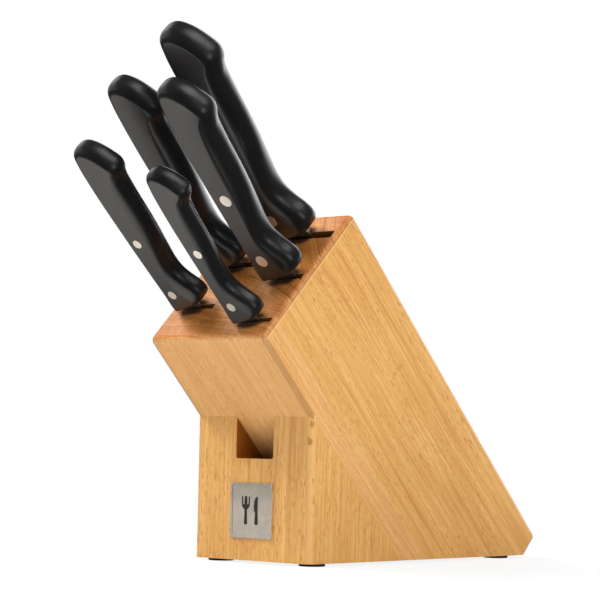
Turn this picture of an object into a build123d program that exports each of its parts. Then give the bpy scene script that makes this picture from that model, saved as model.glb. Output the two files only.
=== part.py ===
from build123d import *
from dataclasses import dataclass
import math
import os

os.makedirs("parts", exist_ok=True)

# Driving dimensions, in millimetres and degrees.
WIDTH = 80.0              # the block, side to side
LEAN = 45.0               # the boards and their slots lean back this far from upright
KNEE_HEIGHT = 74.3        # the upright front face, from the ground to the overhang
OVERHANG = 54.2           # the slanted front face, from the knee to the top edge
STACK = 96.35             # all six boards together, front to back across the slots
EDGE_ROUND = 3.5          # every outer edge but those on the ground
CUT_GROUND = 20.8         # the back corner is cut off: this much of the underside ...
CUT_BACK = 14.7           # ... and this much of the slanted back face

NOTCH_WIDTH = 26.2        # the recess under the overhang
NOTCH_CENTRE = 1.1
NOTCH_FLOOR = 52.4        # its floor, above the underside of the wood
NOTCH_ROUND = 1.5

BADGE_SIZE = 28.4
BADGE_CENTRE = 0.2
BADGE_BOTTOM = 11.5
BADGE_THICK = 1.8
BADGE_RECESS = 1.0        # sunk this deep into the wood
BADGE_RIM = 1.1
BADGE_FIELD = 0.3         # the field lies this far below the rim
BADGE_CORNER = 1.2

FOOT_DIAMETER = 13.6
FOOT_THICK = 1.5
FOOT_INSET = 8.6          # foot centres, in from the sides
FOOT_FRONT = 11.9         # front foot centres, from the front face
FOOT_BACK = 172.0         # back foot centres, from the front face
FOOT_ROUND = 0.4

SLOT_SPARE = 0.5          # a slot runs on this far past its blade's tip
BLADE_IN = 1.6            # the back of a blade lies this far in from the back of its handle
BLADE_FINE = 0.3          # thickness at the cutting edge
NECK_DOWN = 12.0          # a blade's neck widens this far below the handle
RIVET_HEAD = 2.5          # depth of a rivet's head
RIVET_PROUD = 0.1         # heads stand this far out of the handle
RIVET_SHANK = 0.62        # shank radius as a part of the head's
REACH = 400.0             # larger than the whole object

SIN = math.sin(math.radians(LEAN))
COS = math.cos(math.radians(LEAN))
TOP_FRONT = (-OVERHANG * SIN, KNEE_HEIGHT + OVERHANG * COS)
TOP_BACK = (TOP_FRONT[0] + STACK * COS, TOP_FRONT[1] + STACK * SIN)
BACK_CORNER = TOP_BACK[0] + TOP_BACK[1] * math.tan(math.radians(LEAN))

# In the slot frame x runs across, y back through the boards and z up along the slots.
# Its origin is the middle of the top face's front edge.
SLOT_FRAME = Location((0, TOP_FRONT[0], TOP_FRONT[1]), (LEAN, 0, 0))


@dataclass
class Knife:
    name: str
    board: str            # its slot is milled into this board's back
    seam: float           # the back wall of the slot, from the front of the stack
    slot: float           # slot's thickness
    left: float           # slot's ends
    right: float
    spine: float          # where the back of the handle lies across the block
    tilt: float           # degrees that it leans in its slot
    lift: float           # handle's end above the top face
    handle: float         # handle's length
    half: float           # half of the handle's thickness
    slim: float           # taken off the grip's width
    neck: float           # blade's width where it leaves the handle
    blade: float          # blade's length
    width: float          # blade's greatest width
    stock: float          # blade's thickness
    rivet: float          # diameter
    rivet_in: float       # rivets, in from the handle's back
    rivet_low: float      # and up from its end
    rivet_high: float
    teeth: bool           # a wavy edge


KNIVES = [
    Knife("paring_knife", "board_1", 14.7, 3.2, 11.5, 36.8, 15.9, 0.8, 2.4,
          94.2, 5.6, 3.6, 11.8, 88.0, 17.5, 1.5, 5.2, 6.0, 10.9, 45.4, False),
    Knife("utility_knife", "board_2", 26.8, 3.6, -36.5, -10.3, -31.7, 3.0, 2.6,
          105.0, 6.5, 0.0, 12.4, 122.0, 16.2, 1.6, 5.2, 5.7, 10.7, 45.2, False),
    Knife("carving_knife", "board_3", 48.1, 4.0, 12.0, 36.5, 16.05, -0.2, 3.6,
          120.2, 7.5, 0.0, 16.2, 162.0, 18.0, 1.8, 6.9, 7.8, 13.1, 52.4, False),
    Knife("bread_knife", "board_4", 60.1, 4.6, -34.0, -2.5, -28.5, -0.4, 2.4,
          119.5, 7.5, 0.0, 17.0, 188.0, 24.0, 2.0, 6.9, 6.9, 12.4, 51.7, True),
    Knife("chef_knife", "board_5", 81.9, 5.4, -4.0, 36.3, 2.0, 0.0, 3.0,
          131.9, 8.2, 0.0, 19.8, 202.0, 33.0, 2.5, 6.9, 7.6, 14.0, 57.3, False),
]

# Outline of the second largest handle: across from its straight back, and up from its end.
# The third value says how much of a slim grip's narrowing the point takes.
HANDLE_LENGTH = 119.5
HANDLE_BACK = [(0.6, 0.0), (-0.8, 30.0), (-0.8, 75.0), (0.4, 104.0)]
HANDLE_POMMEL = [(2.6, 116.9), (7.5, 119.7), (13.0, 117.2), (21.0, 108.6), (25.0, 103.0)]
HANDLE_BELLY = [
    (24.7, 98.8, 0.3), (22.0, 93.5, 0.8), (21.0, 82.0, 1.0), (20.6, 66.0, 1.0), (19.2, 53.0, 1.0),
    (16.9, 41.5, 0.9), (15.7, 31.0, 0.6), (17.0, 22.5, 0.2), (20.6, 16.3, 0.0), (24.0, 11.3, 0.0),
]
HANDLE_GUARD = [(24.2, 7.5), (21.0, 4.0)]
HANDLE_SOFT = 3.2         # rounding of the handle's long edges
TOOTH_PITCH = 8.0         # scallops of a wavy edge
TOOTH_DEPTH = 1.2


def slot_box(x0, x1, y0, y1, z0, z1):
    """A box with these sides in the slot frame."""
    middle = Location(((x0 + x1) / 2, (y0 + y1) / 2, (z0 + z1) / 2))
    return SLOT_FRAME * middle * Box(x1 - x0, y1 - y0, z1 - z0)


def wood_outline():
    """The whole glued-up block as one rounded solid, which the boards are taken from."""
    ground_cut = (BACK_CORNER - CUT_GROUND, 0)
    back_cut = (BACK_CORNER - CUT_BACK * SIN, CUT_BACK * COS)
    corners = [(0, 0), (0, KNEE_HEIGHT), TOP_FRONT, TOP_BACK, back_cut, ground_cut]
    side = make_face(Plane.YZ * Polyline(*corners, close=True))
    solid = extrude(side, WIDTH / 2, both=True)

    def is_outer(edge):
        middle = edge.center()
        on_ground = middle.Z < 0.1
        at_knee = abs(middle.Z - KNEE_HEIGHT) < 0.1 and abs(middle.X) < 0.1
        return not (on_ground or at_knee)

    return fillet(solid.edges().filter_by(is_outer), EDGE_ROUND)


def boards(wood):
    """Six boards, each with the pocket for one knife milled into its back, but the last."""
    front = 0.0
    made = {}
    for knife in KNIVES:
        board = wood & slot_box(-REACH, REACH, front, knife.seam, -REACH, REACH)
        depth = knife.blade + SLOT_SPARE - knife.lift
        made[knife.board] = board - slot_box(knife.left, knife.right, knife.seam - knife.slot,
                                             knife.seam, -depth, REACH)
        front = knife.seam
    made["board_6"] = wood & slot_box(-REACH, REACH, front, REACH, -REACH, REACH)
    return made


def badge_solid(size, thick):
    plate = Box(size, thick, size)
    return fillet(plate.edges().filter_by(Axis.Y), BADGE_CORNER)


def badge_plate():
    """A square cast plate with a raised rim, let into the front face."""
    plate = badge_solid(BADGE_SIZE, BADGE_THICK)
    field = badge_solid(BADGE_SIZE - 2 * BADGE_RIM, BADGE_FIELD)
    plate -= Pos(0, (BADGE_FIELD - BADGE_THICK) / 2, 0) * field
    return badge_place() * plate


def badge_place():
    back = BADGE_RECESS - BADGE_THICK / 2
    return Location((BADGE_CENTRE, back, BADGE_BOTTOM + BADGE_SIZE / 2))


def support_block(wood):
    """The wedge under the overhang, with the recess in its front and the badge's bed."""
    wedge = wood & slot_box(-REACH, REACH, -REACH, 0, -REACH, REACH)
    depth = KNEE_HEIGHT - NOTCH_FLOOR
    notch = Box(NOTCH_WIDTH, 4 * depth, 4 * depth)
    notch = fillet(notch.edges().filter_by(Axis.Y).group_by(Axis.Z)[0], NOTCH_ROUND)
    wedge -= Pos(NOTCH_CENTRE, 0, NOTCH_FLOOR + 2 * depth) * notch
    return wedge - badge_place() * badge_solid(BADGE_SIZE, BADGE_THICK)


def feet():
    side = WIDTH / 2 - FOOT_INSET
    places = {
        "foot_front_left": (-side, FOOT_FRONT), "foot_front_right": (side, FOOT_FRONT),
        "foot_back_left": (-side, FOOT_BACK), "foot_back_right": (side, FOOT_BACK),
    }
    disc = Cylinder(FOOT_DIAMETER / 2, FOOT_THICK)
    disc = fillet(disc.edges().group_by(Axis.Z)[0], FOOT_ROUND)
    return {name: Pos(x, y, -FOOT_THICK / 2) * disc for name, (x, y) in places.items()}


def knife_frame(knife):
    """Where a knife's own frame lies: x across from its back, y through it, z up its handle."""
    middle = knife.seam - knife.slot / 2
    return SLOT_FRAME * Location((knife.spine, middle, knife.lift), (0, -knife.tilt, 0))


def upright(points):
    """Points of a knife's outline, on the plane through its middle."""
    return [(x, 0, z) for x, z in points]


def through(outline, thick):
    """An outline on a knife's middle plane, as thick as this all told."""
    return extrude(outline, thick / 2, dir=(0, 1, 0), both=True)


def handle_body(knife):
    """One moulded piece: a straight back, a beaked pommel, a waist and a finger guard."""
    k = knife.handle / HANDLE_LENGTH
    back = [(x * k, z * k) for x, z in HANDLE_BACK]
    belly = [(x * k - knife.slim * share, z * k) for x, z, share in HANDLE_BELLY]
    pommel = [(x * k, z * k) for x, z in HANDLE_POMMEL]
    guard = [(x * k, z * k) for x, z in HANDLE_GUARD]
    sweep_line = Spline(*upright(back + pommel + belly + guard))
    end_line = Line(*upright([guard[-1], back[0]]))
    body = through(make_face([sweep_line, end_line]), 2 * knife.half)
    flank_edges = body.edges().filter_by(lambda edge: abs(abs(edge.center().Y) - knife.half) < 0.01)
    return fillet(flank_edges, HANDLE_SOFT * k)


def rivets(knife):
    """Two rivets with broad flush heads, through the handle and the tang."""
    head, reach = knife.rivet / 2, knife.half + RIVET_PROUD
    shank = head * RIVET_SHANK
    step = reach - RIVET_HEAD
    section = make_face(Polyline((0, -reach), (head - 0.1, -reach), (head, -reach + 0.1), (head, -step),
                                 (shank, -step), (shank, step), (head, step), (head, reach - 0.1),
                                 (head - 0.1, reach), (0, reach), close=True))
    rivet = revolve(section, Axis.Y)
    return [Pos(knife.rivet_in, 0, up) * rivet for up in (knife.rivet_low, knife.rivet_high)]


def edge_line(knife, top, bottom):
    """The straight part of the cutting edge: plain, or a row of shallow scallops."""
    if not knife.teeth:
        return [Line(*upright([(knife.width, bottom), (knife.width, top)]))]
    count = round((top - bottom) / TOOTH_PITCH)
    pitch = (top - bottom) / count
    steps = [bottom + pitch * i for i in range(count)]
    return [ThreePointArc(*upright([(knife.width, z), (knife.width - TOOTH_DEPTH, z + pitch / 2),
                                    (knife.width, z + pitch)])) for z in steps]


def blade_outline(knife):
    """From the neck at the handle's end down to the tip, along a straight back."""
    wide, tip = knife.width, -knife.blade
    point = (BLADE_IN + wide * 0.3, tip)
    bend, swell = (BLADE_IN, tip * 0.74), (wide, tip * 0.62)
    heel = (wide, -NECK_DOWN - 4)
    halfway = ((wide + knife.neck) / 2, -NECK_DOWN)
    back = Line(*upright([(BLADE_IN, 0), bend]))
    drop = Spline(*upright([bend, point]), tangents=((0, 0, -1), (0.55, 0, -1)))
    belly = Spline(*upright([point, swell]), tangents=((0.75, 0, 1), (0, 0, 1)))
    neck = Polyline(*upright([heel, halfway, (knife.neck, -NECK_DOWN / 2), (knife.neck, 0), (BLADE_IN, 0)]))
    return make_face([back, drop, belly, *edge_line(knife, heel[1], swell[1]), neck])


def tang_outline(knife):
    """The half of the blade that is moulded into the handle, past both rivets."""
    wide, end = knife.neck * 0.75, knife.rivet_high + 9
    corners = [(BLADE_IN, 0), (knife.neck, 0), (wide, 6), (wide, end - 4), (wide - 3, end),
               (BLADE_IN + 3, end), (BLADE_IN, end - 4)]
    return make_face(Polyline(*upright(corners), close=True))


def blade(knife):
    """Ground from full thickness near the back to a fine edge, with a half tang."""
    shoulder = knife.width * 0.35
    far = knife.width + 1
    half, fine = knife.stock / 2, BLADE_FINE / 2
    grind = make_face(Polyline((0, -half), (shoulder, -half), (far, -fine), (far, fine),
                               (shoulder, half), (0, half), close=True))
    ground = through(blade_outline(knife), knife.stock) & Pos(0, 0, -knife.blade) * extrude(grind, knife.blade)
    return ground + through(tang_outline(knife), knife.stock)


def save(name, shape):
    export_step(shape, f"parts/{name}.step")


def build():
    wood = wood_outline()
    nodes = boards(wood)
    nodes["support_block"] = support_block(wood)
    nodes["badge_plate"] = badge_plate()
    nodes.update(feet())
    for knife in KNIVES:
        place = knife_frame(knife)
        pins = Compound(children=rivets(knife))
        steel = blade(knife) - pins
        grip = handle_body(knife) - steel - pins
        nodes[f"{knife.name}_blade"] = place * steel
        nodes[f"{knife.name}_handle"] = place * grip
        nodes[f"{knife.name}_rivets"] = place * pins
    return nodes


parts = build()
box = Compound(children=[Compound(part.solids()) for part in parts.values()]).bounding_box()
to_origin = Pos(-(box.min.X + box.max.X) / 2, -(box.min.Y + box.max.Y) / 2, -box.min.Z)
for node, part in parts.items():
    save(node, to_origin * part)
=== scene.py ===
import math

import bmesh
import bpy
import numpy as np
from mathutils import Matrix, Vector


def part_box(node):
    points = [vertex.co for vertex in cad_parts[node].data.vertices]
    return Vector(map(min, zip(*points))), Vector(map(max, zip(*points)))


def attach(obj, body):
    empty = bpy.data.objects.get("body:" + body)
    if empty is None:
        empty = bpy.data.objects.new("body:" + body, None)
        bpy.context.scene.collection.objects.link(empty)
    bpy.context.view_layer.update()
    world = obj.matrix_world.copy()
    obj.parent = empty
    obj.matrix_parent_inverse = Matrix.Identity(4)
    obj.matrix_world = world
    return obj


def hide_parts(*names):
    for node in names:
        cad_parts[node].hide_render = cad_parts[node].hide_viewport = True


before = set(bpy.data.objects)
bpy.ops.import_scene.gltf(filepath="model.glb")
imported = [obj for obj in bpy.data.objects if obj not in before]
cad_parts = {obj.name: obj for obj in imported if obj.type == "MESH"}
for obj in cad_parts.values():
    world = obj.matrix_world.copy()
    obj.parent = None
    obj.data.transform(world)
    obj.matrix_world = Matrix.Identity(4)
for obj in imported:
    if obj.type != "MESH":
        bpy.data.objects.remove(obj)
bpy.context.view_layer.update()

MM = 0.001

# ---------------------------------------------------------------- frames of reference

# Wood frame: x across from the middle, y back from the upright front face, z up from the underside.
wedge_low, wedge_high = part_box("support_block")
wood_origin = Vector(((wedge_low.x + wedge_high.x) / 2, wedge_low.y, wedge_low.z))

# Slot frame: x across, y back through the boards, z up along the slots, which lean back by 45
# degrees. Its origin is the middle of the top face's front edge.
LEAN = math.radians(45)
KNEE_HEIGHT = 74.3 * MM   # where the front leaves the upright and leans forwards
OVERHANG = 54.2 * MM      # from there, along the lean, to the top face
slot_turn = Matrix.Rotation(LEAN, 4, "X")
ALONG_SLOT = (0.0, -math.sin(LEAN), math.cos(LEAN))
slot_origin = wood_origin + Vector((0, -OVERHANG * math.sin(LEAN),
                                    KNEE_HEIGHT + OVERHANG * math.cos(LEAN)))
UPRIGHT = (0.0, 0.0, 1.0)


def to_slot(points):
    """Points turned into the slot frame's directions, about the row frame's origin."""
    return np.asarray(points) @ np.array(slot_turn.to_3x3())


# ---------------------------------------------------------------- shader nodes

# A Mix node's socket numbers for colours: the factor, the two colours and the result.
MIX_FACTOR, MIX_A, MIX_B, MIX_RESULT = 0, 6, 7, 2


def opaque(colour):
    """A colour as a socket's value, with alpha. Another node's output stays as it is."""
    return colour if isinstance(colour, bpy.types.NodeSocket) else (*colour, 1)


class Tree:
    """Short calls for the nodes of one new material or world."""

    def __init__(self, owner):
        self.owner = owner
        owner.use_nodes = True
        self.nodes = owner.node_tree.nodes
        self.links = owner.node_tree.links
        self.nodes.clear()

    def add(self, kind, inputs=None, out=0, **settings):
        """A new node. inputs maps a socket's name or number to a value or to another output."""
        node = self.nodes.new("ShaderNode" + kind)
        for key, value in settings.items():
            setattr(node, key, value)
        for key, value in (inputs or {}).items():
            if isinstance(value, bpy.types.NodeSocket):
                self.links.new(value, node.inputs[key])
            else:
                node.inputs[key].default_value = value
        return node.outputs[out]

    def math(self, operation, a, b=0.0):
        return self.add("Math", {0: a, 1: b}, operation=operation)

    def mul_add(self, a, b, c):
        return self.add("Math", {0: a, 1: b, 2: c}, operation="MULTIPLY_ADD")

    def product(self, first, *others):
        """Everything multiplied together, such as masks that have to hold at once."""
        for other in others:
            first = self.math("MULTIPLY", first, other)
        return first

    def vary(self, value, *noises):
        """The value moved by each noise around its middle, from (noise, amount) pairs."""
        for noise, amount in noises:
            value = self.mul_add(self.math("SUBTRACT", noise, 0.5), amount, value)
        return value

    def dot(self, vector, direction):
        return self.add("VectorMath", {0: vector, 1: direction}, out="Value",
                        operation="DOT_PRODUCT")

    def stretch(self, vector, scale, shift=(0, 0, 0)):
        """The vector scaled along each axis, for noise that runs along the grain."""
        return self.add("Mapping", {"Vector": vector, "Scale": scale, "Location": shift})

    def noise(self, vector, scale=1.0, detail=2.0, roughness=0.5):
        return self.add("TexNoise", {"Vector": vector, "Scale": scale, "Detail": detail,
                                     "Roughness": roughness})

    def line_noise(self, position, scale, roughness=0.5):
        """Noise that only varies along one distance."""
        return self.add("TexNoise", {"W": position, "Scale": scale, "Detail": 2.0,
                                     "Roughness": roughness}, noise_dimensions="1D")

    def ramp(self, value, stops):
        """A colour ramp from (position, colour) pairs."""
        node = self.nodes.new("ShaderNodeValToRGB")
        elements = node.color_ramp.elements
        while len(elements) < len(stops):
            elements.new(0.5)
        for element, (position, colour) in zip(elements, stops):
            element.position = position
            element.color = opaque(colour)
        self.links.new(value, node.inputs[0])
        return node.outputs[0]

    def step(self, value, low, high):
        """From 0 at low to 1 at high, smooth between; low may be the larger."""
        return self.add("MapRange", {"Value": value, "From Min": low, "From Max": high},
                        interpolation_type="SMOOTHSTEP")

    def mix(self, factor, a, b):
        """Colour a where the factor is 0, b where it is 1."""
        return self.add("Mix", {MIX_FACTOR: factor, MIX_A: opaque(a), MIX_B: opaque(b)},
                        out=MIX_RESULT, data_type="RGBA")

    def mix_shader(self, factor, a, b):
        return self.add("MixShader", {0: factor, 1: a, 2: b})

    def bump(self, height, distance, strength):
        return self.add("Bump", {"Height": height, "Distance": distance, "Strength": strength})

    def finish(self, inputs):
        """Ends a material in one shader with these inputs."""
        return self.end_in(self.add("BsdfPrincipled", inputs), "Material")

    def end_in(self, shader, kind):
        """Ends a Material or a World in this shader."""
        self.links.new(shader, self.nodes.new("ShaderNodeOutput" + kind).inputs[0])
        return self.owner


def material_tree(name):
    return Tree(bpy.data.materials.new(name))


def srgb(red, green, blue):
    """A linear colour from 0 to 255 display values."""
    def linear(value):
        value /= 255
        return value / 12.92 if value <= 0.04045 else ((value + 0.055) / 1.055) ** 2.4
    return tuple(linear(value) for value in (red, green, blue))


# ---------------------------------------------------------------- materials

# Painted shade inside the slots and the recess, as rows of an axis, where along it the shade starts
# and where it is whole, in mm.
SHADE_IN_SLOTS = (                  # in the slot frame
    ("up", -0.05, -0.4),
    ("up", -90, -50),
    ("aside", 37.4, 37.0),
    ("back", 4, 5),
    ("back", 92, 91),
)
SHADE_IN_RECESS = (                 # in the wood frame
    ("back", 0.4, 1.2),
    ("up", 51.8, 52.3),
    ("aside", 16.0, 15.5),
)
CONTACT_SHADE_REACH = 6.5 * MM      # how near a handle has to be to darken the top face


def beech(name, grain, seed, ring_angle, ring_bend, tones, stripe=0.5, fleck=1.0):
    """Oiled steamed beech: growth bands, fine fibre, short ray flecks and darker end grain.

    grain is the direction that the fibres run, ring_angle the growth rings' direction in the
    plane across it, in degrees from the block's width, and ring_bend how strongly they curve.
    stripe and fleck are how strongly the bands and the flecks show. A noise's scales are cells in
    a metre, twice across the grain and once along it.
    """
    t = material_tree(name)
    place = t.add("TexCoord", out="Object")
    slanted = grain is ALONG_SLOT
    turn = Matrix.Rotation(-LEAN if slanted else 0.0, 3, "X")
    origin = slot_origin if slanted else wood_origin
    p = t.add("Mapping", {"Vector": place, "Rotation": turn.to_euler(),
                          "Location": -(turn @ origin)})
    # Every piece is cut from another place in the same noise.
    own = t.stretch(p, (1, 1, 1), (seed * 0.731, seed * 0.417, seed * 1.113))
    along = {"aside": t.math("ABSOLUTE", t.dot(p, (1, 0, 0))), "back": t.dot(p, (0, 1, 0)),
             "up": t.dot(p, (0, 0, 1))}
    normal = t.add("NewGeometry", out="Normal")

    # Growth bands: distance along the rings' direction, bent and warped a little.
    angle = math.radians(ring_angle)
    drift = t.noise(t.stretch(own, (9, 9, 4.5)), detail=1.0)
    wave = t.noise(t.stretch(own, (60, 60, 14)))
    across = t.dot(p, (math.cos(angle), math.sin(angle), 0))
    aside = t.dot(p, (-math.sin(angle), math.cos(angle), 0))
    bent = t.mul_add(t.math("MULTIPLY", aside, aside), ring_bend, across)
    ring = t.mul_add(drift, 12 * MM, t.mul_add(wave, 2.8 * MM, bent))
    ring = t.math("ADD", ring, seed * 3.7)
    bands = t.line_noise(ring, 230)
    lines = t.line_noise(ring, 750, roughness=0.6)

    fibre = t.noise(t.stretch(own, (620, 620, 22)), detail=3.0, roughness=0.6)
    thread = t.noise(t.stretch(own, (2300, 2300, 110)), roughness=0.6)
    cloud = t.noise(t.stretch(own, (30, 30, 9)))

    tone = t.vary(0.5, (bands, stripe * 0.75), (lines, stripe * 1.2), (fibre, 0.9), (thread, 0.4),
                  (cloud, 0.5))
    pale, mid, deep = tones
    colour = t.ramp(tone, [(0.12, deep), (0.5, mid), (0.88, pale)])

    # Ray flecks, short dashes along the grain.
    dash = t.noise(t.stretch(own, (1500, 1500, 240)), detail=1.5)
    patch = t.noise(t.stretch(own, (70, 70, 25)), detail=1.0)
    dashes = t.product(t.step(dash, 0.56, 0.68), t.step(patch, 0.25, 0.6))
    colour = t.mix(t.math("MULTIPLY", dashes, 0.7 * fleck), colour, srgb(168, 106, 50))

    # Rounded side edges get a painted tone for how light falls on them: a paler painted highlight
    # on the upright block and darker painted shade on the slanted boards, with brown spots of cut
    # rays. Like the masks below, this goes by how far the surface faces a direction, from 0 to 1.
    sideways = t.math("ABSOLUTE", t.dot(normal, (1, 0, 0)))
    edge = t.product(t.step(sideways, 0.08, 0.32), t.step(sideways, 0.985, 0.90))
    spots = t.step(t.noise(t.stretch(own, (260, 260, 150)), detail=1.0), 0.60, 0.68)
    edge_light_tone = srgb(150, 108, 62) if slanted else srgb(204, 158, 98)
    lit_edge_colour = t.mix(spots, edge_light_tone, srgb(150, 92, 42))
    colour = t.mix(t.math("MULTIPLY", edge, 0.65), colour, lit_edge_colour)

    # End grain: darker, with the rings as fine lines and pores as specks.
    facing = t.math("ABSOLUTE", t.dot(normal, grain))
    end = t.mix(t.step(sideways, 0.15, 0.40), t.step(facing, 0.55, 0.98),
                t.step(facing, 0.32, 0.80))
    pores = t.noise(t.stretch(own, (1900, 1900, 1900)), roughness=0.7)
    ray_scale = (1500, 130, 300) if ring_angle > 45 else (130, 1500, 300)
    ray = t.noise(t.stretch(own, ray_scale))
    end_tone = t.vary(0.5, (lines, 0.8), (bands, 0.5), (pores, 0.6), (ray, 0.6), (cloud, 0.6))
    end_colour = t.ramp(end_tone, [(0.15, srgb(150, 84, 32)), (0.5, srgb(190, 120, 56)),
                                   (0.85, srgb(220, 162, 96))])
    colour = t.mix(end, colour, end_colour)
    # A painted highlight: a thin pale line just outside the end grain's rounded side edges.
    highlight_line = t.product(t.step(facing, 0.15, 0.20), t.step(facing, 0.33, 0.28),
                     t.step(sideways, 0.60, 0.90))
    colour = t.mix(t.math("MULTIPLY", highlight_line, 0.6), colour, srgb(232, 186, 138))

    # Painted shade: the top face is darkened, and made duller, where an ambient occlusion node
    # finds a handle close above it, and the wood inside the slots and the recess is painted dark as
    # shade.
    shine = t.vary(0.37, (fibre, 0.25))
    if slanted:
        # Painted contact shade under the handles, from how open the top face is around it.
        open_sky = t.add("AmbientOcclusion", {"Distance": CONTACT_SHADE_REACH}, out="AO", samples=16)
        contact_shade = t.product(t.step(open_sky, 0.82, 0.45), end)
        colour = t.mix(t.math("MULTIPLY", contact_shade, 0.95), colour, srgb(40, 18, 6))
        shine = t.mul_add(contact_shade, 0.5, shine)
        inside_shade_colour = srgb(104, 62, 30)
    else:
        inside_shade_colour = t.mix(fibre, srgb(104, 50, 8), srgb(132, 70, 15))
    # Painted shade inside the slots and the recess, dark where the wood lies deep in them.
    inside_shade = t.product(*(t.step(along[axis], start * MM, whole * MM)
                         for axis, start, whole in (SHADE_IN_SLOTS if slanted else SHADE_IN_RECESS)))
    colour = t.mix(inside_shade, colour, inside_shade_colour)

    height = t.mul_add(fibre, 0.5, t.math("MULTIPLY", thread, 0.5))
    height = t.mul_add(dashes, -0.4, height)
    bumped = t.bump(height, 0.06 * MM, 0.6)
    return t.finish({"Base Color": colour, "Roughness": shine, "Normal": bumped, "IOR": 1.45})


def plastic():
    """Black moulded handle: eroded flanks with a fine matte grain, smoother rounded edges."""
    t = material_tree("handle_plastic_black")
    place = t.add("TexCoord", out="Object")
    normal = t.add("NewGeometry", out="Normal")
    side = t.math("ABSOLUTE", t.dot(normal, (0, math.cos(LEAN), math.sin(LEAN))))
    flank = t.step(side, 0.93, 0.985)
    grain = t.noise(place, scale=2600, detail=3.0, roughness=0.65)
    orange = t.noise(place, scale=900)
    patches = t.noise(place, scale=60, detail=3.0)
    scuffs = t.noise(t.stretch(place, (300, 60, 60)), scale=3.0, detail=4.0, roughness=0.7)
    rough = t.vary(t.mul_add(flank, -0.02, 0.35), (patches, 0.10), (scuffs, 0.06))
    colour = t.mix(patches, srgb(13, 13, 14), srgb(19, 19, 20))
    height = t.mix(flank, orange, grain)
    bumped = t.bump(height, 0.05 * MM, t.mul_add(flank, 0.40, 0.08))
    return t.finish({"Base Color": colour, "Roughness": rough, "Normal": bumped, "IOR": 1.6})


def steel(name, colour, roughness, scratch_scale):
    """Ground steel: fine parallel scratches over broad soft variation.

    scratch_scale is in cells in a metre: across the block, through a blade and along it.
    """
    t = material_tree(name)
    place = t.add("TexCoord", out="Object")
    p = t.add("Mapping", {"Vector": place, "Rotation": (-LEAN, 0, 0)})
    scratch = t.noise(t.stretch(p, scratch_scale), detail=4.0, roughness=0.75)
    broad = t.noise(p, scale=90)
    dark = tuple(value * 0.72 for value in colour)
    shade = t.mix(t.vary(0.5, (scratch, 0.5)), dark, colour)
    rough = t.vary(roughness, (scratch, 0.30), (broad, 0.12))
    bumped = t.bump(scratch, 0.01 * MM, 0.35)
    return t.finish({"Base Color": shade, "Metallic": 1.0, "Roughness": rough, "Normal": bumped})


def badge_metal():
    """Cast tin alloy, speckled, with a painted highlight on its rim, and painted shade that darkens
    it towards the top.
    """
    t = material_tree("badge_metal_cast")
    place = t.add("TexCoord", out="Object")
    speck = t.noise(place, scale=1150, detail=3.0, roughness=0.7)
    grit = t.noise(place, scale=4200)
    cloud = t.noise(place, scale=120, detail=3.0)
    bright = t.step(speck, 0.58, 0.68)
    tone = t.mul_add(bright, 0.45, t.mul_add(cloud, 0.5, t.math("MULTIPLY", grit, 0.35)))
    colour = t.ramp(tone, [(0.25, srgb(205, 196, 184)), (0.6, srgb(238, 229, 216)),
                           (1.0, srgb(252, 246, 236))])
    # Painted shade: the badge is darker towards the top.
    height_up = t.math("SUBTRACT", t.dot(place, (0, 0, 1)), wood_origin.z)
    top_shade = t.mix(0.42, colour, srgb(96, 90, 82))
    colour = t.mix(t.step(height_up, 16 * MM, 44 * MM), colour, top_shade)
    colour = t.mix(t.math("MULTIPLY", bright, 0.45), colour, srgb(255, 250, 240))
    # A painted highlight on the rim, where the surface turns away from the front.
    facing = t.math("ABSOLUTE", t.dot(t.add("NewGeometry", out="Normal"), (0, 1, 0)))
    colour = t.mix(t.step(facing, 0.98, 0.80), colour, srgb(255, 250, 242))
    rough = t.mul_add(bright, -0.12, t.mul_add(grit, 0.2, 0.42))
    height = t.mul_add(speck, 0.6, t.math("MULTIPLY", grit, 0.4))
    bumped = t.bump(height, 0.08 * MM, 0.5)
    return t.finish({"Base Color": colour, "Metallic": 0.9, "Roughness": rough, "Normal": bumped})


def enamel():
    """The badge's engraved sign, filled with worn black."""
    t = material_tree("badge_sign_black")
    place = t.add("TexCoord", out="Object")
    grit = t.noise(place, scale=3800, detail=3.0, roughness=0.7)
    worn = t.step(grit, 0.60, 0.75)
    colour = t.mix(worn, srgb(34, 32, 30), srgb(96, 92, 86))
    rough = t.mul_add(grit, 0.3, 0.45)
    bumped = t.bump(grit, 0.04 * MM, 0.5)
    return t.finish({"Base Color": colour, "Roughness": rough, "Normal": bumped})


def rubber():
    """Black feet, a little dusty."""
    t = material_tree("foot_rubber_black")
    place = t.add("TexCoord", out="Object")
    grain = t.noise(place, scale=2600, detail=3.0, roughness=0.7)
    dust = t.noise(place, scale=240, detail=3.0)
    colour = t.mix(dust, srgb(18, 18, 18), srgb(46, 44, 42))
    rough = t.mul_add(grain, 0.25, 0.6)
    bumped = t.bump(grain, 0.1 * MM, 0.4)
    return t.finish({"Base Color": colour, "Roughness": rough, "Normal": bumped})


FLOOR_WASH = 0.86         # how much of the paper the camera sees as pure white


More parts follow.
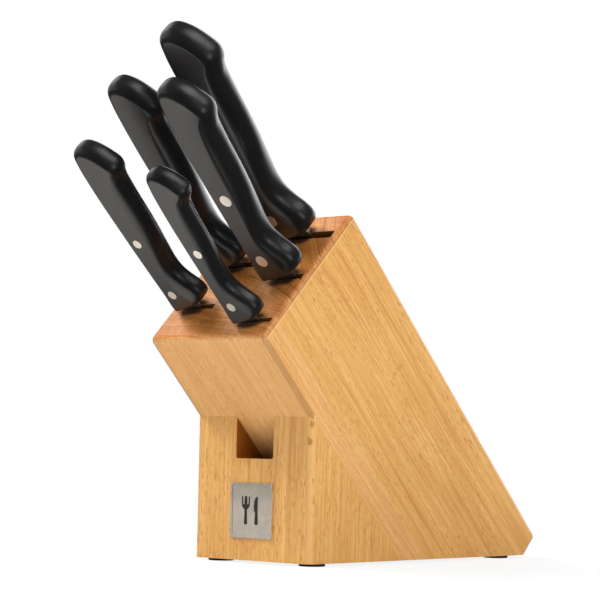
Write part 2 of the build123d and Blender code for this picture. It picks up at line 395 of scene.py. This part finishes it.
def floor_white():
    """White paper, which the camera sees almost washed out.

    Other surfaces are lit by it as by plain dull paper. In gloss it is dim, but for an oval spot
    on the object's front left.
    """
    t = material_tree("floor_paper")
    place = t.add("TexCoord", out="Object")
    fibre = t.noise(place, scale=350, detail=4.0)
    broad = t.noise(place, scale=1.5)
    tone = t.mul_add(broad, 0.6, t.math("MULTIPLY", fibre, 0.4))
    colour = t.mix(tone, srgb(244, 244, 244), srgb(250, 250, 250))
    grained = t.bump(fibre, 0.2 * MM, 0.2)
    paper = t.add("BsdfPrincipled", {"Base Color": colour, "Roughness": 0.75, "Normal": grained})
    plain = t.add("BsdfDiffuse", {"Color": (0.88, 0.87, 0.85, 1)})
    from_spot = t.add("Mapping", {"Vector": place, "Scale": (1, 1.6, 1),
                                  "Location": (0.17, 0.384, 0)})
    distance = t.add("VectorMath", {0: from_spot}, out="Value", operation="LENGTH")
    glow = t.mix(t.step(distance, 0.28, 0.17), (0.05, 0.05, 0.05), (1.5, 1.42, 1.33))
    mirrored = t.add("Emission", {"Color": glow})
    unseen = t.mix_shader(t.add("LightPath", out="Is Glossy Ray"), plain, mirrored)
    clean = t.add("Emission", {"Color": (1, 1, 1, 1)})
    washed = t.mix_shader(FLOOR_WASH, paper, clean)
    shader = t.mix_shader(t.add("LightPath", out="Is Camera Ray"), unseen, washed)
    return t.end_in(shader, "Material")


# Lightest, middle and darkest tone, of most of the wood and of the front board.
TONES = srgb(220, 175, 112), srgb(204, 154, 86), srgb(184, 128, 62)
FRONT_TONES = srgb(222, 178, 120), srgb(207, 156, 95), srgb(188, 131, 71)

wood = {
    "support_block": beech("beech_wedge", UPRIGHT, 1, 60, 1.0, TONES, stripe=0.45),
    "board_1": beech("beech_board_1", ALONG_SLOT, 2, 82, 1.2, FRONT_TONES, stripe=0.3, fleck=0.7),
    "board_2": beech("beech_board_2", ALONG_SLOT, 3, 74, 2.0, TONES),
    "board_3": beech("beech_board_3", ALONG_SLOT, 4, 66, 2.5, TONES),
    "board_4": beech("beech_board_4", ALONG_SLOT, 5, 40, 2.5, TONES, stripe=0.6),
    "board_5": beech("beech_board_5", ALONG_SLOT, 6, 28, 2.0, TONES, stripe=0.6),
    "board_6": beech("beech_board_6", ALONG_SLOT, 7, 15, 1.5, TONES),
}
black_plastic = plastic()
blade_finish = steel("blade_steel_ground", srgb(192, 187, 180), 0.36, (60, 900, 2600))
rivet_finish = steel("rivet_steel_satin", srgb(236, 228, 219), 0.36, (1400, 300, 1400))
badge_finish = badge_metal()
sign_finish = enamel()
foot_finish = rubber()


def paint(node, material):
    """Gives a CAD node its finish, in every slot that it has."""
    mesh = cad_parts[node].data
    if not mesh.materials:
        mesh.materials.append(material)
    for index in range(len(mesh.materials)):
        mesh.materials[index] = material


for node, material in wood.items():
    paint(node, material)
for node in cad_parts:
    if node.endswith("_blade"):
        paint(node, blade_finish)
    elif node.endswith("_rivets"):
        paint(node, rivet_finish)
    elif node.startswith("foot_"):
        paint(node, foot_finish)
paint("badge_plate", badge_finish)


def new_piece(name, mesh, place, material):
    """An object made from a bmesh and moved to its place."""
    data = bpy.data.meshes.new(name)
    mesh.to_mesh(data)
    mesh.free()
    data.transform(place)
    data.materials.append(material)
    piece = bpy.data.objects.new(name, data)
    bpy.context.scene.collection.objects.link(piece)
    return piece


# ---------------------------------------------------------------- knife handles

# One moulded handle, in its knife's frame: x across from the back, y through it, z up from its
# lower end, in millimetres. Each row is a place round its outline: x and z of the outline on the
# middle plane, x and z of the flat flank's edge, how square the rounding between them is, and how
# far it turns in degrees. Every knife's handle is this one scaled to its length.
HANDLE_LENGTH = 119.5
SECTIONS = [
    (0.3, -0.1, 1.3, 0.5, 3.2, 84),
    (-0.5, 14.0, 1.1, 14.0, 3.4, 87),
    (-1.0, 36.0, 0.9, 36.0, 3.4, 88),
    (-1.1, 60.0, 0.9, 60.0, 3.4, 88),
    (-0.9, 82.0, 1.1, 82.0, 3.3, 88),
    (-0.4, 99.0, 1.8, 98.0, 3.1, 84),
    (0.2, 110.6, 2.7, 108.2, 2.9, 76),
    (2.0, 118.3, 4.5, 114.4, 2.9, 71),
    (7.2, 120.4, 8.1, 115.3, 2.6, 68),
    (12.5, 118.2, 11.6, 114.0, 2.4, 68),
    (17.5, 114.2, 15.2, 111.0, 2.3, 68),
    (21.8, 108.6, 18.6, 107.2, 2.2, 68),
    (24.8, 103.4, 20.9, 103.4, 2.2, 68),
    (24.9, 99.4, 20.7, 100.6, 2.1, 70),
    (23.3, 95.6, 18.4, 97.6, 2.0, 76),
    (21.8, 91.6, 16.6, 92.7, 2.0, 82),
    (21.2, 84.5, 14.9, 84.8, 2.0, 86),
    (20.8, 75.0, 13.6, 75.5, 2.0, 87),
    (20.4, 66.0, 12.9, 66.5, 2.0, 87),
    (18.9, 53.0, 12.2, 52.8, 2.0, 87),
    (16.4, 40.5, 11.2, 38.9, 2.1, 86),
    (15.2, 31.0, 10.2, 30.0, 2.2, 84),
    (16.1, 24.0, 9.7, 23.5, 2.5, 80),
    (19.3, 17.8, 10.4, 17.5, 2.9, 76),
    (22.9, 12.8, 12.8, 12.0, 3.1, 73),
    (24.3, 9.0, 16.0, 8.4, 3.0, 72),
    (23.6, 5.4, 18.8, 6.0, 2.6, 72),
    (20.5, 3.0, 18.0, 4.3, 2.4, 72),
    (12.0, 0.8, 12.0, 2.2, 2.8, 76),
    (5.0, 0.1, 5.2, 1.1, 3.2, 80),
]
# At these heights a slim grip's belly side is moved in by this share of the grip's narrowing.
SLIM_HEIGHTS = (11.3, 16.3, 22.5, 31.0, 41.5, 53.0, 82.0, 93.5, 98.8, 103.4)
SLIM_SHARES = (0.0, 0.0, 0.2, 0.6, 0.9, 1.0, 1.0, 0.8, 0.3, 0.0)
BELLY_FROM = 8            # the belly side lies further than this from the back
SAMPLES = 8               # columns from one row above to the next
ARC = 24                  # steps over the rounding, flank to flank
FLANK_INSET = 0.35        # a last ring of the flank, which keeps its shading flat

# Length, half the thickness, narrowing of the grip, and the lower rivet's place: in from the
# handle's back and up from its end.
HANDLES = {
    "paring_knife": (94.2, 5.6, 3.6, 6.0, 10.9),
    "utility_knife": (105.0, 6.5, 0.0, 5.7, 10.7),
    "carving_knife": (120.2, 7.5, 0.0, 7.8, 13.1),
    "bread_knife": (119.5, 7.5, 0.0, 6.9, 12.4),
    "chef_knife": (131.9, 8.2, 0.0, 7.6, 14.0),
}


def closed_curve(rows, samples):
    """The rows' values sampled along a smooth closed curve through them."""
    rows = np.array(rows, float)
    before, after, beyond = np.roll(rows, 1, 0), np.roll(rows, -1, 0), np.roll(rows, -2, 0)

    def gap(a, b):
        return np.sqrt(np.linalg.norm(b[:, :2] - a[:, :2], axis=1))[:, None]

    g0, g1, g2 = gap(before, rows), gap(rows, after), gap(after, beyond)
    leave = ((rows - before) / g0 - (after - before) / (g0 + g1) + (after - rows) / g1) * g1
    arrive = ((after - rows) / g1 - (beyond - rows) / (g1 + g2) + (beyond - after) / g2) * g1
    out = []
    for step in range(samples):
        u = step / samples
        out.append((2 * u**3 - 3 * u**2 + 1) * rows + (u**3 - 2 * u**2 + u) * leave
                   + (-2 * u**3 + 3 * u**2) * after + (u**3 - u**2) * arrive)
    return np.stack(out, 1).reshape(-1, rows.shape[1])


def knife_place(name):
    """The knife's own frame, found from its two rivets."""
    points = np.array([v.co[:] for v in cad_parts[f"{name}_rivets"].data.vertices])
    points = to_slot(points)
    middle = (points[:, 2].min() + points[:, 2].max()) / 2
    halves = points[points[:, 2] < middle], points[points[:, 2] >= middle]
    low, high = [Vector((part.min(0) + part.max(0)) / 2) for part in halves]
    rivet_in, rivet_up = HANDLES[name][3:]
    up = (high - low).normalized()
    through = Vector((0, 1, 0))
    across = through.cross(up)
    origin = low - up * rivet_up * MM - across * rivet_in * MM
    turn = Matrix((across, through, up)).transposed().to_4x4()
    return slot_turn @ Matrix.Translation(origin) @ turn


def handle(name):
    """A knife's moulded handle, in place of its CAD handle."""
    length, half, slim = HANDLES[name][:3]
    scale = length / HANDLE_LENGTH
    curve = closed_curve(SECTIONS, SAMPLES)
    outer, flat = curve[:, :2].copy(), curve[:, 2:4].copy()
    share = np.interp(curve[:, 1], SLIM_HEIGHTS, SLIM_SHARES) * (curve[:, 0] > BELLY_FROM)
    outer[:, 0] -= slim / scale * share
    flat[:, 0] -= slim / scale * share
    power, stop = curve[:, 4], np.radians(curve[:, 5])

    def corner(angle):
        """A squarish arc's place at an angle, as shares of its depth and its half width."""
        reach = (np.abs(np.cos(angle)) ** power + np.abs(np.sin(angle)) ** power) ** (-1 / power)
        return reach * np.cos(angle), reach * np.sin(angle)

    end_depth, end_side = corner(stop)
    mesh = bmesh.new()
    loops = []

    def loop(across, side, up):
        """A ring of vertices round the handle."""
        loops.append([mesh.verts.new((x * scale * MM, y * MM, z * scale * MM))
                      for x, y, z in zip(across, side, up)])

    # Inward, in the flank's plane, from its edge.
    along = np.roll(flat, -1, 0) - np.roll(flat, 1, 0)
    inward = np.stack([-along[:, 1], along[:, 0]], 1) / np.linalg.norm(along, axis=1)[:, None]
    if np.mean(np.sum(inward * (flat.mean(0) - flat), 1)) < 0:
        inward = -inward
    inner = flat + inward * FLANK_INSET
    count = len(curve)
    loop(inner[:, 0], np.full(count, -half), inner[:, 1])
    for step in range(ARC + 1):
        part = 2 * step / ARC - 1
        depth, side = corner(stop * abs(part))
        depth = (depth - end_depth) / (1 - end_depth)
        side = math.copysign(half, part) * side / end_side if part else np.zeros(count)
        point = flat + (outer - flat) * depth[:, None]
        loop(point[:, 0], side, point[:, 1])
    loop(inner[:, 0], np.full(count, half), inner[:, 1])
    for lower, upper in zip(loops, loops[1:]):
        for i in range(count):
            j = (i + 1) % count
            mesh.faces.new((lower[i], lower[j], upper[j], upper[i]))
    mesh.faces.new(loops[0][::-1])
    mesh.faces.new(loops[-1])
    bmesh.ops.recalc_face_normals(mesh, faces=mesh.faces)
    for face in mesh.faces:
        face.smooth = True
    piece = new_piece(f"{name}_grip", mesh, knife_place(name), black_plastic)
    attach(piece, name)
    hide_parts(f"{name}_handle")


for knife in HANDLES:
    handle(knife)

# ---------------------------------------------------------------- the badge's sign

# A fork and a table knife, as on any cutlery drawer, let into the plate's field. Points are across
# and up from a shape's middle: the fork's left half, and the whole of the knife. All of the sign
# is in millimetres.
HALF_FORK = [(-0.55, -6.6), (-0.85, -6.1), (-0.62, 0.2), (-1.1, 0.9), (-2.0, 2.0), (-2.1, 6.4),
             (-1.75, 6.7), (-1.4, 6.4), (-1.3, 2.9), (-0.8, 2.9), (-0.68, 6.4), (-0.34, 6.7)]
TABLE_KNIFE = [(-0.75, -6.6), (0.55, -6.6), (0.85, -6.1), (0.62, -0.4), (0.62, 6.2), (0.3, 6.7),
               (-0.6, 6.0), (-1.25, 4.2), (-1.4, 1.8), (-1.2, -0.4), (-0.72, -0.6), (-0.95, -6.1)]
SIGN_WIDER = 1.35         # the shapes' size against the points above, across
SIGN_TALLER = 1.1         # and up
SIGN_SPREAD = 3.7         # from the sign's middle to each shape's
SIGN_SINK = 0.12          # how far the sign goes into the field
SIGN_PROUD = 0.04         # how far it stands out of the field
FIELD_AHEAD = 0.3         # the field is at least this far in front of the plate's middle


def sign():
    """The fork and the knife on the badge, as one piece.

    It is made face by face, since an extrusion's faces come in another order on each run.
    """
    low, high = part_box("badge_plate")
    middle = (low + high) / 2
    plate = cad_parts["badge_plate"].data
    in_front = (v.co.y for v in plate.vertices if v.co.y < middle.y - FIELD_AHEAD * MM)
    field = max(in_front, default=low.y)
    fork = HALF_FORK + [(-x, z) for x, z in reversed(HALF_FORK)]
    mesh = bmesh.new()
    for outline, shift in ((fork, -SIGN_SPREAD), (TABLE_KNIFE, SIGN_SPREAD)):
        proud = [mesh.verts.new((middle.x + (SIGN_WIDER * x + shift) * MM, field - SIGN_PROUD * MM,
                                 middle.z + SIGN_TALLER * z * MM)) for x, z in outline]
        sunk = [mesh.verts.new((v.co.x, v.co.y + (SIGN_PROUD + SIGN_SINK) * MM, v.co.z))
                for v in proud]
        mesh.faces.new(proud)
        mesh.faces.new(sunk[::-1])
        for i in range(len(outline)):
            mesh.faces.new((proud[i - 1], sunk[i - 1], sunk[i], proud[i]))
    bmesh.ops.recalc_face_normals(mesh, faces=mesh.faces)
    bmesh.ops.triangulate(mesh, faces=[face for face in mesh.faces if len(face.verts) > 4])
    piece = new_piece("badge_sign", mesh, Matrix(), sign_finish)
    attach(piece, "block")


sign()

# ---------------------------------------------------------------- floor, light and camera

FLOOR_SIZE = 24           # metres

bpy.ops.mesh.primitive_plane_add(size=FLOOR_SIZE, location=(0, 0, 0))
floor = bpy.context.object
floor.name = "floor"
floor.data.materials.append(floor_white())


def softbox(name, place, target, width, height, radiance, mirrored=True):
    """A rectangular light of this radiance, facing its target, and seen in gloss or not."""
    data = bpy.data.lights.new(name, "AREA")
    data.shape, data.size, data.size_y = "RECTANGLE", width, height
    data.energy = radiance * math.pi * width * height
    light = bpy.data.objects.new(name, data)
    light.location = place
    light.rotation_euler = (Vector(target) - Vector(place)).to_track_quat("-Z", "Y").to_euler()
    light.visible_camera = False
    light.visible_glossy = mirrored
    bpy.context.scene.collection.objects.link(light)


softbox("top_left", (-1.1, -0.1, 1.5), (0, 0, 0.15), 0.9, 0.9, 1.8)
softbox("low_right", (0.65, -0.25, 0.06), (0.04, 0.03, 0.04), 0.6, 0.1, 5.6, mirrored=False)
softbox("top_right", (0.74, -0.15, 1.5), (0, 0, 0.15), 0.75, 0.75, 3.0)
softbox("right", (1.6, -0.5, 0.45), (0, 0, 0.12), 0.5, 0.8, 2.5)


def distant(name, toward, energy, spread):
    """A far light from this direction, spread over so many degrees and left out of gloss."""
    data = bpy.data.lights.new(name, "SUN")
    data.energy, data.angle = energy, math.radians(spread)
    light = bpy.data.objects.new(name, data)
    light.rotation_euler = Vector(toward).to_track_quat("Z", "Y").to_euler()
    light.visible_glossy = False
    bpy.context.scene.collection.objects.link(light)


distant("key", (-0.55, -0.32, 0.78), 3.3, 22)
distant("side", (0.92, -0.34, 0.15), 1.05, 40)
distant("front", (-0.10, -0.97, -0.20), 0.45, 40)
distant("ceiling", (0.10, 0.30, 1.00), 0.5, 40)

# The room: white to the camera, an even glow for matt surfaces, and mostly dark for what gloss
# mirrors, with soft bright areas: a pale wall at the upper front left, a backdrop behind and a
# wall at the left. Each has its direction, how far a ray faces it where it starts and where it is
# whole, and its colour.
ROOM_GLOW = (0.22, 0.22, 0.22)
ROOM_DARK = (0.05, 0.05, 0.05)
BRIGHT_AREAS = (
    ((-0.73, -0.54, 0.42), 0.65, 0.92, (0.85, 0.85, 0.85)),
    ((-0.20, 0.96, 0.18), 0.76, 0.90, (3.0, 3.0, 3.1)),
    ((-0.92, 0.38, 0.05), 0.75, 0.97, (1.2, 1.2, 1.2)),
)
world = bpy.data.worlds.new("studio")
bpy.context.scene.world = world
sky = Tree(world)
ray_heading = sky.add("TexCoord", out="Generated")
mirrored = ROOM_DARK
for toward, start, whole, colour in BRIGHT_AREAS:
    mirrored = sky.mix(sky.step(sky.dot(ray_heading, toward), start, whole), mirrored, colour)
glow = sky.add("Background", {"Color": opaque(ROOM_GLOW)})
in_gloss = sky.add("Background", {"Color": mirrored})
white = sky.add("Background", {"Color": (1, 1, 1, 1)})
unseen = sky.mix_shader(sky.add("LightPath", out="Is Glossy Ray"), glow, in_gloss)
sky.end_in(sky.mix_shader(sky.add("LightPath", out="Is Camera Ray"), unseen, white), "World")

bpy.context.scene.view_settings.view_transform = "Standard"
bpy.context.scene.view_settings.look = "None"

# The photograph's viewing angle: level with the lower half of the block, turned to its right.
CAMERA_PLACE = Vector((0.74489, -0.82796, 0.06073))     # in the wood frame
CAMERA_HEADING = 40.8     # degrees from straight on, towards the object's right
CAMERA_TILT = 3.81        # degrees up
CAMERA_ROLL = 1.13        # degrees
CAMERA_SENSOR = 36        # millimetres wide
CAMERA_LENS = 129.13      # millimetres
heading, tilt, roll = (math.radians(a) for a in (CAMERA_HEADING, CAMERA_TILT, CAMERA_ROLL))
ahead = Vector((-math.sin(heading) * math.cos(tilt), math.cos(heading) * math.cos(tilt),
                math.sin(tilt)))
level = Vector((math.cos(heading), math.sin(heading), 0))
above = level.cross(ahead)
image_x = math.cos(roll) * level + math.sin(roll) * above
image_y = -math.sin(roll) * level + math.cos(roll) * above
camera_data = bpy.data.cameras.new("camera")
camera_data.sensor_width = CAMERA_SENSOR
camera_data.lens = CAMERA_LENS
camera = bpy.data.objects.new("camera", camera_data)
bpy.context.scene.collection.objects.link(camera)
camera.matrix_world = (Matrix.Translation(wood_origin + CAMERA_PLACE)
                       @ Matrix((image_x, image_y, -ahead)).transposed().to_4x4())
bpy.context.scene.camera = camera
